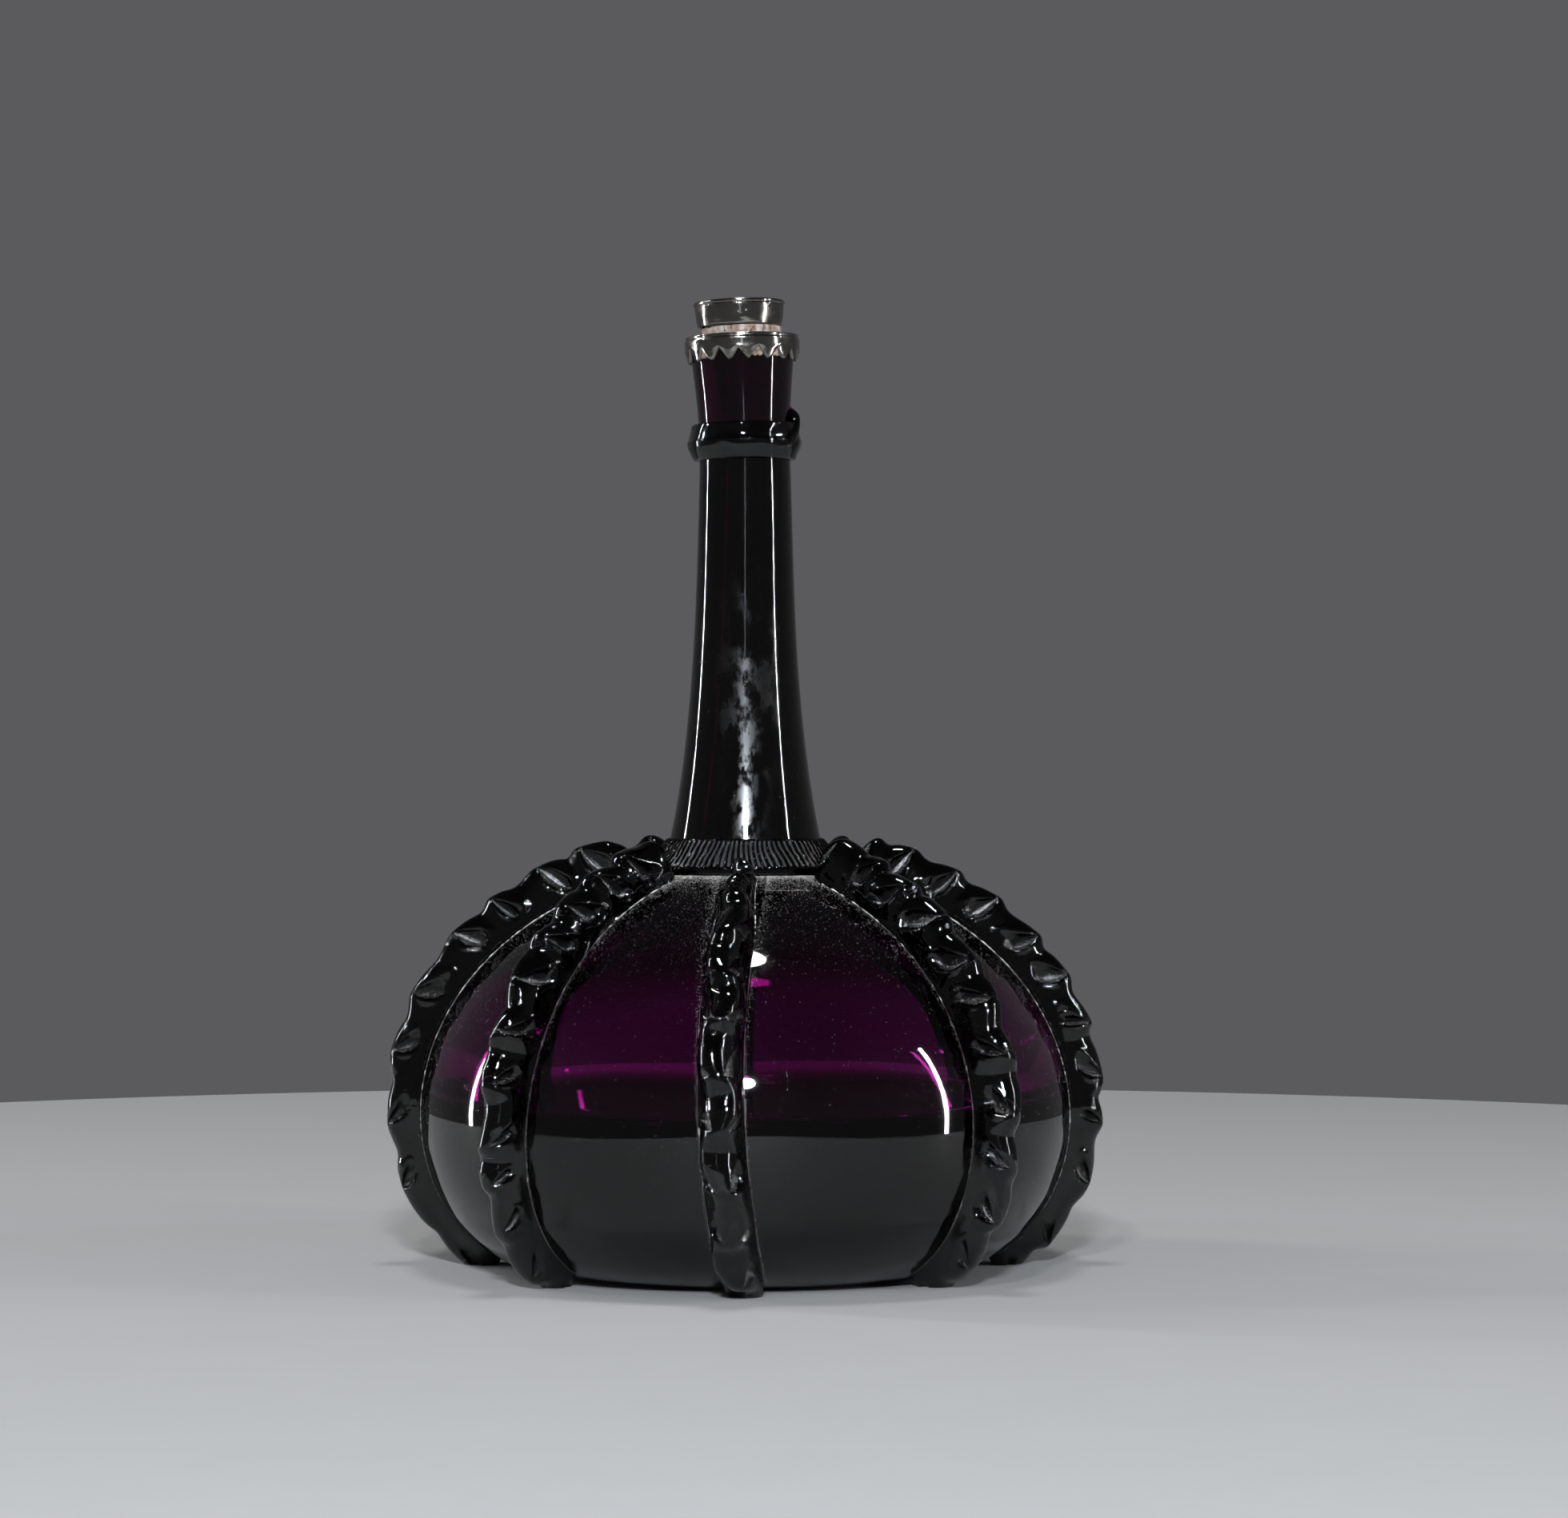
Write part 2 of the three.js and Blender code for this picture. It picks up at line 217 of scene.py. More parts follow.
def leaned(point):
    """Where a point of the straight bottle lies on the real one, whose neck leans towards -X."""
    above = max(0.0, point.z - LEAN_BOTTOM)
    bent = min(above, LEAN_LENGTH)
    turn = LEAN * bent / LEAN_LENGTH
    bend_radius = LEAN_LENGTH / LEAN
    rest = above - bent
    aside = bend_radius * (1 - cos(turn)) + rest * sin(turn)
    height = min(point.z, LEAN_BOTTOM) + bend_radius * sin(turn) + rest * cos(turn)
    return Vector((point.x * cos(turn) - aside, point.y, height + point.x * sin(turn)))


def stoppered(point):
    """From the stopper's own upright axis to its place on the leaning mouth."""
    mouth = leaned(Vector((0, 0, MOUTH_HEIGHT)))
    x = point.x * cos(LEAN) - point.z * sin(LEAN)
    z = point.x * sin(LEAN) + point.z * cos(LEAN)
    return mouth + Vector((x, point.y, z))


# Node trees written as formulas

class Flow:
    """A number or vector that runs through a node tree."""

    def __init__(self, graph, socket):
        self.graph = graph
        self.socket = socket

    def math(self, operation, *others):
        node = self.graph.node("Math", operation=operation)
        for socket, value in zip(node.inputs, (self, *others)):
            self.graph.put(socket, value)
        return Flow(self.graph, node.outputs[0])

    __add__ = __radd__ = partialmethod(math, "ADD")
    __sub__ = partialmethod(math, "SUBTRACT")
    __rsub__ = partialmethod(math, "MULTIPLY_ADD", -1.0)
    __mul__ = __rmul__ = partialmethod(math, "MULTIPLY")
    __truediv__ = partialmethod(math, "DIVIDE")
    __pow__ = partialmethod(math, "POWER")
    __abs__ = partialmethod(math, "ABSOLUTE")

    def bell(self, centre, width):
        """1 at the centre, falling off on both sides."""
        share = (self - centre) / width
        return (share * share * -1.0).math("EXPONENT")

    def ramp(self, low, high):
        """0 below low, 1 above high, eased between them."""
        return self.graph.out("MapRange", Value=self, From_Min=low, From_Max=high,
                              interpolation_type="SMOOTHSTEP")

    def moved(self, way, distance):
        step = self.graph.out("VectorMath", Vector=way, Scale=distance, operation="SCALE")
        node = self.graph.node("VectorMath", Vector=self, operation="ADD")
        self.graph.put(node.inputs[1], step)
        return Flow(self.graph, node.outputs[0])

    def xyz(self):
        node = self.graph.node("SeparateXYZ", Vector=self)
        return [Flow(self.graph, socket) for socket in node.outputs]


class Graph:
    """A node tree with short calls for making and joining its nodes."""

    def __init__(self, tree):
        self.tree = tree

    def put(self, socket, value):
        if isinstance(value, Flow):
            self.tree.links.new(value.socket, socket)
        else:
            socket.default_value = value

    def fill(self, node, values):
        """Names with a capital are inputs. The others are settings and come first."""
        for key in sorted(values, key=lambda name: name[0].isupper()):
            if key[0].isupper():
                self.put(node.inputs[key.replace("_", " ")], values[key])
            else:
                setattr(node, key, values[key])
        return node

    def node(self, kind, **values):
        """A new node. A kind without the word Node in it is a shader node."""
        return self.fill(self.tree.nodes.new(kind if "Node" in kind else f"ShaderNode{kind}"), values)

    def out(self, kind, output=0, **values):
        """A new node's output, given by its place or name."""
        return Flow(self, self.node(kind, **values).outputs[output])

    def noise(self, place, scale, detail=2.0, roughness=0.5):
        return self.out("TexNoise", Vector=place, Scale=scale, Detail=detail, Roughness=roughness)

    def blend(self, share, a, b):
        node = self.node("Mix", data_type="RGBA")
        for slot, value in ((0, share), (6, a), (7, b)):
            self.put(node.inputs[slot], value)
        return Flow(self, node.outputs[2])


class Group(Graph):
    """A node group. Each input comes with the value it starts at, or with its kind."""

    def __init__(self, tree_kind, name, output, **inputs):
        super().__init__(bpy.data.node_groups.new(name, tree_kind))
        face = self.tree.interface
        for key, value in inputs.items():
            kind = value if isinstance(value, str) else type(value).__name__.capitalize()
            socket = face.new_socket(key, in_out="INPUT", socket_type=f"NodeSocket{kind}")
            if kind != value:
                socket.default_value = value
        face.new_socket("Result", in_out="OUTPUT", socket_type=f"NodeSocket{output}")
        entry = self.node("NodeGroupInput")
        given = {socket.name.lower(): Flow(self, socket) for socket in entry.outputs if socket.name}
        self.given = SimpleNamespace(**given)

    def finish(self, result):
        self.put(self.node("NodeGroupOutput").inputs[0], result)
        return self


# Attributes that hold a vector
VECTORS = ("place", "section", "out", "aside")


def kind_of(attribute):
    return "FLOAT_VECTOR" if attribute in VECTORS else "FLOAT"


class Recipe(Group):
    """A geometry tree with named inputs."""

    def __init__(self, name, **sizes):
        super().__init__("GeometryNodeTree", name, "Geometry", Host="Geometry", **sizes, Material="Material")

    def step(self, kind, **values):
        return self.out(f"GeometryNode{kind}", **values)

    def named(self, name):
        return self.step("InputNamedAttribute", Name=name, data_type=kind_of(name))

    def store(self, geometry, name, value):
        return self.step("StoreNamedAttribute", Geometry=geometry, Name=name, Value=value,
                         data_type=kind_of(name), domain="POINT")

    def chance(self, number):
        """The random share that a number always gets."""
        return self.out("TexWhiteNoise", "Value", W=number, noise_dimensions="1D")

    def joined(self, x, y, z):
        return self.out("CombineXYZ", X=x, Y=y, Z=z)

    def serve(self, geometry):
        real = self.step("RealizeInstances", Geometry=geometry)
        return self.finish(self.step("SetMaterial", Geometry=real, Material=self.given.material))


# Meshes

def linked(name, data):
    """A new object of the scene."""
    made = bpy.data.objects.new(name, data)
    scene.collection.objects.link(made)
    return made


def added(name, mesh, material):
    mesh.name = name
    mesh.shade_smooth()
    if material.name not in mesh.materials:
        mesh.materials.clear()
        mesh.materials.append(material)
    return linked(name, mesh)


def built(name, verts, faces, material):
    mesh = bpy.data.meshes.new(name)
    mesh.from_pydata(verts, [], faces)
    return added(name, mesh, material)


def evaluated(host):
    """What the host's modifier makes of it, as a mesh. The host goes."""
    mesh = bpy.data.meshes.new_from_object(host.evaluated_get(bpy.context.evaluated_depsgraph_get()))
    host.modifiers.clear()
    bpy.data.objects.remove(host)
    return mesh


def grown(name, host, recipe, material, **sizes):
    """A plain mesh object of what a recipe makes of the host."""
    modifier = host.modifiers.new("grow", "NODES")
    modifier.node_group = recipe.tree
    sizes["Material"] = material
    for item in recipe.tree.interface.items_tree:
        if item.in_out == "INPUT" and item.name in sizes:
            modifier[item.identifier] = sizes[item.name]
    return added(name, evaluated(host), material)


def tidied(piece):
    """Merges doubled points and turns the faces outwards."""
    work = bmesh.new()
    work.from_mesh(piece.data)
    bmesh.ops.remove_doubles(work, verts=work.verts, dist=1e-7)
    bmesh.ops.dissolve_degenerate(work, edges=work.edges, dist=1e-8)
    bmesh.ops.recalc_face_normals(work, faces=work.faces)
    if work.calc_volume(signed=True) < 0:
        bmesh.ops.reverse_faces(work, faces=work.faces)
    work.to_mesh(piece.data)
    work.free()
    return piece


def strand(name, points, closed=False, **values):
    """A line of points, with numbers or vectors stored at them."""
    mesh = bpy.data.meshes.new(name)
    count = len(points)
    edges = [(i, (i + 1) % count) for i in range(count if closed else count - 1)]
    mesh.from_pydata(points, edges, [])
    for key, entries in values.items():
        layer = mesh.attributes.new(key, kind_of(key), "POINT")
        for item, entry in zip(layer.data, entries):
            setattr(item, "vector" if key in VECTORS else "value", entry)
    return linked(name, mesh)


def turned(name, outline, material, shape, sides=200):
    """A body of revolution. The outline starts and ends on the axis, or closes."""
    verts, rings = [], []
    for radius, height in outline:
        count = 1 if radius < 1e-9 else sides
        rings.append([len(verts) + i % count for i in range(sides)])
        verts += [shape(around(radius, 360 * i / sides, height)) for i in range(count)]
    if outline[0][0] > 1e-9:
        rings.append(rings[0])
    faces = []
    for low, high in pairwise(rings):
        for i in range(sides):
            j = (i + 1) % sides
            faces.append(tuple(dict.fromkeys((low[i], low[j], high[j], high[i]))))
    return built(name, verts, faces, material)


def lofted(name, tubes, material):
    """Tubes given as lists of rings, capped at both ends."""
    verts, faces = [], []
    for rings in tubes:
        size, first = len(rings[0]), len(verts)
        last = first + (len(rings) - 1) * size
        faces += [range(first, first + size), range(last, last + size)]
        for low in range(first, last, size):
            for i in range(size):
                j = (i + 1) % size
                faces.append((low + i, low + j, low + size + j, low + size + i))
        verts += [point for ring in rings for point in ring]
    return tidied(built(name, verts, faces, material))


def rounded(points, radius, count=5):
    """The same outline with its corners rounded off."""
    made = [points[0]]
    for before, corner, after in zip(points, points[1:], points[2:]):
        a, b, c = Vector(before), Vector(corner), Vector(after)
        cut = min(radius, (a - b).length * 0.45, (c - b).length * 0.45)
        start, end = b + (a - b).normalized() * cut, b + (c - b).normalized() * cut
        for share in spread(0, 1, count):
            made.append(tuple(mix(mix(start, b, share), mix(b, end, share), share)))
    return made + [points[-1]]


def finely(points, gap):
    """The same outline in steps no longer than the gap."""
    made = []
    for a, b in pairwise(points):
        count = max(1, ceil(dist(a, b) / gap))
        made += [tuple(mix(p, q, i / count) for p, q in zip(a, b)) for i in range(count)]
    return made + [points[-1]]


def near(point, out, up):
    """The point so many millimetres further out and up."""
    return point[0] + out * MM, point[1] + up * MM


def ring_outline(corners, radius, gap):
    """A closed outline through these corners."""
    return finely(rounded(corners + corners[:1], radius, 3), gap)[:-1]


def wobble(point, size, scale, seed):
    """The slow unevenness of hand-worked glass and metal, outwards and inwards."""
    flat = Vector((point.x, point.y, 0))
    if flat.length < 1e-6:
        return point
    return point + flat.normalized() * noise.noise(point * scale + Vector((seed, 0, 0))) * size * 2


def finished(piece, slot=None, node=None, body="bottle"):
    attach(piece, body)
    if slot:
        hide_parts(node)
    return piece


# Shader groups that several finishes share

def hair_scratches():
    """Fine curved scratches in short lengths."""
    group = Group("ShaderNodeTree", "hair_scratches", "Float", Place="Vector", Scale=60.0, Share=0.5)
    given = group.given
    line = 1 - abs(group.noise(given.place, given.scale, 1.5) - 0.5).ramp(0.0, 0.006)
    breaks = group.noise(given.place, given.scale * 0.9, 3.0, 0.7).ramp(1 - given.share * 0.9, 0.75)
    return group.finish(line * breaks)


def greasy_smears():
    """Where fingers and cleaning left the surface duller."""
    group = Group("ShaderNodeTree", "greasy_smears", "Float", Place="Vector", Scale=14.0)
    given = group.given
    wide = group.noise(given.place, given.scale, 3.0, 0.6).ramp(0.42, 0.66)
    fine = group.noise(given.place, given.scale * 9.0, 3.0, 0.65).ramp(0.35, 0.75)
    return group.finish(wide * (fine * 0.7 + 0.3))


SCRATCHES = hair_scratches()
SMEARS = greasy_smears()


class Finish(Graph):
    """A material with its Principled shader and Object coordinates."""

    def __init__(self, name):
        self.material = bpy.data.materials.new(name)
        self.material.use_nodes = True
        super().__init__(self.material.node_tree)
        self.tree.nodes.clear()
        self.shader = self.node("BsdfPrincipled")
        self.exit = self.node("OutputMaterial", Surface=Flow(self, self.shader.outputs[0]))
        self.place = self.out("TexCoord", "Object")

    def use(self, effect, **inputs):
        return self.out("Group", node_tree=effect.tree, Place=self.place, **inputs)

    def stretched(self, x, y, z):
        return self.out("Mapping", Vector=self.place, Scale=(x, y, z))

    def grain(self, *settings, stretch=None):
        """Noise, drawn out where its stretch is below 1."""
        return self.noise(self.stretched(*stretch) if stretch else self.place, *settings)

    def bump(self, height, distance, strength):
        bump = self.out("Bump", Height=height, Distance=distance, Strength=strength)
        self.set(Normal=bump)

    def set(self, **values):
        self.fill(self.shader, values)
        return self.material

    def attribute(self, name):
        return self.out("Attribute", "Fac", attribute_name=name)


# Absorption of the glass: green goes first, red and blue last
AMETHYST = (0.70, 0.0, 0.635, 1.0)
POLISHED = 0.03


def amethyst(name, density):
    finish = Finish(name)
    volume = finish.out("VolumeAbsorption", Color=AMETHYST, Density=density)
    finish.fill(finish.exit, {"Volume": volume})
    finish.set(IOR=1.5, Transmission_Weight=1.0)
    return finish


def vessel_glass():
    """Fire-polished glass with slow waves, smears and hair scratches."""
    finish = amethyst("amethyst_vessel", density=1450.0)
    x, _, height = finish.place.xyz()
    neck = height.ramp(NECK_FOOT_HEIGHT - 25 * MM, NECK_FOOT_HEIGHT + 4 * MM)
    handled = finish.grain(210.0, 4.0, 0.65, stretch=(1, 1, 0.5)).ramp(0.42, 0.62)
    held = 1 - abs(x).ramp(5 * MM, 9 * MM)
    smear = finish.use(SMEARS, Scale=24.0) * (neck * 0.2 + 0.08)
    smear = smear + handled * held * height.bell(NECK_FOOT_HEIGHT + 34 * MM, 38 * MM) * 0.9
    scratch = finish.use(SCRATCHES, Scale=34.0, Share=0.42)
    bore = finish.attribute("inside") * height.ramp(MOUTH_HEIGHT - 30 * MM, MOUTH_HEIGHT - 20 * MM)
    waves = finish.grain(60.0, 1.0, stretch=(1, 1, 0.35))
    pits = finish.grain(1500.0).ramp(0.7, 0.8)
    finish.bump(waves * 0.25 - scratch * 0.05 - pits * 0.05, 0.0006, 0.5)
    tint = finish.blend(smear * 0.5 + scratch * 0.4, (0.94, 0.9, 0.94, 1), (0.5, 0.45, 0.5, 1))
    rough = smear * 0.3 + scratch * 0.25 + pits * 0.2 + bore * 0.4 + POLISHED
    return finish.set(Base_Color=tint, Roughness=rough)


def worked_glass(name, chilled):
    """Glossy glass, chilled and rough where a tool touched it."""
    finish = amethyst(name, density=14000.0)
    rough = finish.attribute("dent").ramp(0.35, 0.8)
    grain = finish.grain(1100.0, 4.0, 0.65)
    flow = finish.grain(180.0)
    smear = finish.use(SMEARS, Scale=40.0)
    finish.bump(grain * rough * 0.5 + flow * 0.35, 0.0005, 0.6)
    tint = finish.blend(rough * grain, (0.9, 0.85, 0.9, 1), (0.45, 0.4, 0.45, 1))
    return finish.set(Base_Color=tint, Roughness=rough * chilled + smear * 0.08 + POLISHED)


def silver_finish(name, scratches, tarnish):
    """Polished silver with tarnish in the low places and fine turning lines."""
    finish = Finish(name)
    blotch = finish.grain(210.0, 4.0, 0.65).ramp(0.42, 0.72) * tarnish
    fine = finish.grain(1300.0, 3.0, 0.6)
    lines = finish.grain(5200.0, 1.0, stretch=(0.08, 0.08, 1.0))
    scratch = finish.use(SCRATCHES, Scale=240.0, Share=0.6)
    deep = finish.attribute("grime")
    bright = finish.blend(blotch, (0.29, 0.28, 0.26, 1), (0.07, 0.06, 0.05, 1))
    colour = finish.blend(deep, bright, (0.10, 0.085, 0.07, 1))
    finish.bump(lines * 0.12 + fine * 0.15 - scratch * scratches, 0.00006, 0.5)
    rough = blotch * 0.28 + fine * 0.05 + scratch * 0.2 + deep * 0.45 + 0.08
    return finish.set(Base_Color=colour, Metallic=1 - deep * 0.75, Roughness=rough)


def cork_finish():
    """Grey-pink bark with pores, cracks and brown stains, wet below the mouth and painted near-black as shade
    there.
    """
    finish = Finish("old_cork")
    grain = finish.grain(420.0, 5.0, 0.62, stretch=(1, 1, 0.5))
    stain = finish.grain(300.0, 4.0, 0.65).ramp(0.46, 0.6)
    cells = finish.out("TexVoronoi", "Distance", Vector=finish.stretched(1, 1, 0.6),
                       Scale=1700.0, feature="DISTANCE_TO_EDGE")
    cracks = 1 - cells.ramp(0.0, 0.12)
    pores = finish.grain(700.0, stretch=(1, 1, 0.35)).ramp(0.62, 0.7)
    pale = finish.blend(grain.ramp(0.35, 0.65), (0.24, 0.19, 0.165, 1), (0.48, 0.43, 0.40, 1))
    brown = finish.blend(stain * 0.75, pale, (0.24, 0.13, 0.075, 1))
    spotted = finish.blend(cracks * 0.06 + pores * 0.8, brown, (0.10, 0.06, 0.045, 1))
    # Below the mouth the cork is wet, and is also painted near-black for the shade inside the glass neck.
    wet_and_shaded = finish.blend(grain * stain, (0.035, 0.014, 0.012, 1), (0.012, 0.005, 0.006, 1))
    _, _, height = finish.place.xyz()
    soaked_and_shaded = 1 - height.ramp(MOUTH_HEIGHT - 1.5 * MM, MOUTH_HEIGHT + 1 * MM)
    finish.bump(grain * 0.8 - cracks * 0.1 - pores, 0.0004, 0.8)
    return finish.set(Base_Color=finish.blend(soaked_and_shaded, spotted, wet_and_shaded), Roughness=0.85)


def powder_finish(name, dark, pale):
    finish = Finish(name)
    grain = finish.grain(900.0, 3.0)
    finish.bump(grain, 0.0003, 0.8)
    return finish.set(Base_Color=finish.blend(grain.ramp(0.3, 0.7), dark, pale), Roughness=0.95)


# Geometry recipes

def pinched_rib_recipe():
    """Lays a trail of glass along a line on the body, which rib_line makes, and pinches it."""
    recipe = Recipe(
        "pinched_rib", Steps=520, Sides=64, Width=RIB_WIDTH, Pinches=12.0, Gather=1.0, Depth=0.46,
        Valley=1.4 * MM, Slant=0.42, Zigzag=0.9 * MM, Unevenness=0.35 * MM, Sunk=0.4 * MM, Seed=0)
    given, step, named = recipe.given, recipe.step, recipe.named
    line = step("MeshToCurve", Mesh=given.host)
    line = step("ResampleCurve", Curve=line, Count=given.steps, mode="COUNT")
    line = recipe.store(line, "run", step("SplineParameter"))
    line = recipe.store(line, "place", step("InputPosition"))
    loop = step("CurvePrimitiveLine", End=(MM, 0, 0))
    loop = step("ResampleCurve", Curve=loop, Count=given.sides, mode="COUNT")
    loop = recipe.store(loop, "turn", step("InputIndex") / given.sides)
    loop = step("SetSplineCyclic", Geometry=loop, Cyclic=True)
    tube = step("CurveToMesh", Curve=line, Profile_Curve=loop, Fill_Caps=True)

    run, turn, place, seed = named("run"), named("turn"), named("place"), given.seed
    drift = recipe.out("TexNoise", W=run * 7.0 + seed * 7.3, Scale=1.0, Detail=1.0,
                       noise_dimensions="1D")
    phase = (run ** given.gather) * given.pinches + (drift - 0.5) * 0.7
    own = recipe.chance(phase.math("ROUND") + seed * 13.1)

    # The crest peaks at each pinch and dips most a third of the way down to the next one
    wave = phase * -tau
    wave = wave + (1 - wave.math("COSINE")) * 0.54
    dip = 0.5 - wave.math("COSINE") * 0.5
    crest = named("crest") - given.valley * dip

    # The outer section runs from one foot over the crest to the other, then back under the rib
    bow = (turn / 0.8).math("MINIMUM", 1.0) * pi
    base = ((turn - 0.8) / 0.2).math("MAXIMUM", 0.0)
    sine, cosine = bow.math("SINE"), bow.math("COSINE")

    # Each pinch leaves a leaf-shaped dent on both sides: round near the body and pointed at the
    # crest, with a soft upper edge and a hard lower lip. The dents are larger towards the top
    slanted = phase - (1 - sine) * given.slant
    off = slanted - slanted.math("ROUND")
    lowest = 0.5 - run * 0.26
    leaf = ((sine - lowest) / (0.965 - lowest)).math("MAXIMUM", 0.0).math("MINIMUM", 1.0)
    above = off.ramp(-0.03, 0.03)
    reach = (above * 0.17 + 0.12) * (run * 0.75 + 0.85) * (own * 0.4 + 0.8)
    edge = off / (leaf.math("SQRT") * (1 - leaf) * 2.6 * reach + 0.0005)
    inwards = 1 - abs(edge)
    dent = inwards.ramp(0.0, 0.95) * above + inwards.ramp(0.0, 0.6) * (1 - above)
    rim = inwards.bell(-0.12, 0.26) * leaf.bell(0.42, 0.33) * (0.1 - above * 0.04)
    squeeze = 1 - given.depth * dent * (own * 0.3 + 0.85) + rim

    # The trail spreads at its foot against the body and runs out at both ends
    foot = (sine * -9.0).math("EXPONENT") * 0.12
    half = given.width * 0.5 / 1.12
    top_end = ((run - 0.955) / 0.045).math("MAXIMUM", 0.0)
    foot_end = ((0.03 - run) / 0.03).math("MAXIMUM", 0.0)
    size = (1 - top_end * top_end * 0.97 - foot_end * foot_end * 0.5).math("SQRT")
    round_side = cosine.math("SIGN") * abs(cosine) ** 0.8
    side = half * size * named("girth") * (round_side * squeeze + cosine * foot + base * 2.24)

    lump = recipe.noise(place, 130.0) - 0.5
    lean = (phase * pi).math("SINE") * given.zigzag + lump * given.unevenness * 2.0
    up = crest * size * sine + lump * given.unevenness * sine - given.sunk
    up = up - side * side * named("hoop") * 0.5
    x, y, z = place.moved(named("out"), up).moved(named("aside"), side + lean * sine).xyz()
    spot = recipe.joined(x, y, z.math("MAXIMUM", 0.0))
    tube = recipe.store(tube, "dent", dent)
    return recipe.serve(step("SetPosition", Geometry=tube, Position=spot))


def patterned_ring_recipe():
    """Takes a section, drawn as (radius, 0, height), round the axis.

    Flutes cut into it where it is marked fluted, and its toothed points rise into notches.
    """
    recipe = Recipe(
        "patterned_ring", Steps=480, Repeats=12, Phase=0.0, Unevenness=0.5, Flutes=0.0, Lumps=0.0,
        Notches=0.0, Tongue=0.4, Flare=0.0, Twist=0.0)
    given, step, named = recipe.given, recipe.step, recipe.named
    loop = recipe.store(given.host, "section", step("InputPosition"))
    loop = step("MeshToCurve", Mesh=loop)
    circle = step("CurvePrimitiveCircle", Resolution=given.steps, Radius=1.0)
    circle = recipe.store(circle, "turn", step("InputIndex") / given.steps)
    tube = step("CurveToMesh", Curve=circle, Profile_Curve=loop)

    turn = named("turn")
    radius, _, height = named("section").xyz()
    angle = turn * tau
    sine, cosine = angle.math("SINE"), angle.math("COSINE")
    place = recipe.joined(sine * radius, cosine * radius, height)
    lump, drift, wander = (recipe.noise(place, scale, 1.0) - 0.5 for scale in (700.0, 90.0, 45.0))
    leaning = wander * given.twist * (height - NECK_FOOT_HEIGHT) / COLLAR_RISE
    across = turn * given.repeats + given.phase + drift * given.unevenness + leaning
    groove = 0.5 - (across * tau).math("COSINE") * 0.5
    fluted = named("fluted")
    deep = recipe.noise(place, 110.0, 1.0) * 1.6 + 0.2
    cut = fluted * (groove * given.flutes * deep + lump * given.lumps)
    notch = 1 - abs(across.math("FRACT") * 2.0 - 1.0)
    chance = recipe.chance(across.math("FLOOR"))
    tongue = given.tongue * (chance + 0.5)
    cut_in = ((notch - tongue) / (1 - tongue)).math("MAXIMUM", 0.0) * (1.15 - chance * 0.3)
    rounding = (notch / tongue).math("MINIMUM", 1.0) ** 2.0 * 0.12
    rise = named("toothed") * (cut_in * 0.88 + rounding) * given.notches
    wide = radius - cut + rise * given.flare
    spot = recipe.joined(sine * wide, cosine * wide * -1.0, height + rise)
    tube = step("SetPosition", Geometry=tube, Position=spot)
    return recipe.serve(recipe.store(tube, "dent", fluted * groove))


def crumbs_recipe():
    """Lays a small flat crumb on every point of the host."""
    recipe = Recipe("crumbs", Smallest=0.03 * MM, Largest=0.12 * MM, Flatness=0.6, Seed=0)
    given, step = recipe.given, recipe.step
    crumb = step("MeshCone", Vertices=3, Radius_Top=0.0, Radius_Bottom=1.0, Depth=1.4)
    points = step("MeshToPoints", Mesh=given.host)
    lying = recipe.out("FunctionNodeAlignRotationToVector", Vector=recipe.named("out"), axis="Z")
    chance = recipe.out("FunctionNodeRandomValue", 1, Seed=given.seed, data_type="FLOAT")
    size = given.smallest + (given.largest - given.smallest) * chance * chance
    flat = recipe.joined(size, size * 0.8, size * given.flatness)
    return recipe.serve(step("InstanceOnPoints", Points=points, Instance=crumb, Rotation=lying, Scale=flat))


# Vessel

def body_wall(angle):
    """Thin above the belly, heavy below it and near the neck."""
    wall = BASE_THICKNESS
    for reached, start, end in WALLS.values():
        wall = mix(wall, reached, smooth(start, end, angle))
    return wall


def neck_wall(height):
    """Thick below the cork and thinner beside it."""
    return mix(NECK_THICK_WALL, NECK_WALL, smooth(MOUTH_HEIGHT - 33 * MM, MOUTH_HEIGHT - 23.5 * MM, height))


def vessel_outline():
    """From the push-up over the foot and up the outside, then down the inside."""
    ring_inner = BASE_RADIUS - BASE_RING_WIDTH
    push_up = [(r, PUSH_UP_HEIGHT * cos(pi / 2 * r / ring_inner)) for r in spread(0, ring_inner, 16)]
    angles = spread(-90, 0, 24) + spread(0, NECK_FOOT_ANGLE, 46)[1:]
    outside = [body_point(angle) for angle in angles]
    neck_top = MOUTH_HEIGHT - LIP_ROUNDING
    neck = [(neck_radius(z), z) for z in spread(NECK_FOOT_HEIGHT, neck_top, 64)[1:]]
    lip_radius = neck_radius(neck_top)
    lip = rounded([
        neck[-1], (lip_radius, MOUTH_HEIGHT), (lip_radius - NECK_WALL, MOUTH_HEIGHT),
        (lip_radius - NECK_WALL, neck_top - LIP_ROUNDING),
    ], LIP_ROUNDING)[1:-1]
    bore = [(neck_radius(z) - neck_wall(z), z) for z in spread(neck_top - LIP_ROUNDING, NECK_FOOT_HEIGHT, 44)]
    cavity = [body_point(angle, -body_wall(angle)) for angle in spread(CAVITY_TOP_ANGLE, -90, 64)]
    throat = rounded([bore[-1], (bore[-1][0], cavity[0][1]), cavity[0]], 3 * MM)[1:-1]
    inside = [(r, BASE_THICKNESS + z) for r, z in reversed(push_up)]
    return push_up + outside + neck + lip + bore + throat + cavity + inside[1:]


def is_inside(point):
    outer = neck_radius(point.z)
    if point.z < NECK_FOOT_HEIGHT:
        above = point.z - BELLY_HEIGHT
        centre, reach, rise = body_arc(above)
        outer = centre + reach * sqrt(max(0.0, 1 - (above / rise) ** 2))
    return hypot(point.x, point.y) < outer - BODY_WALL * 0.5 and point.z > BASE_THICKNESS * 0.5


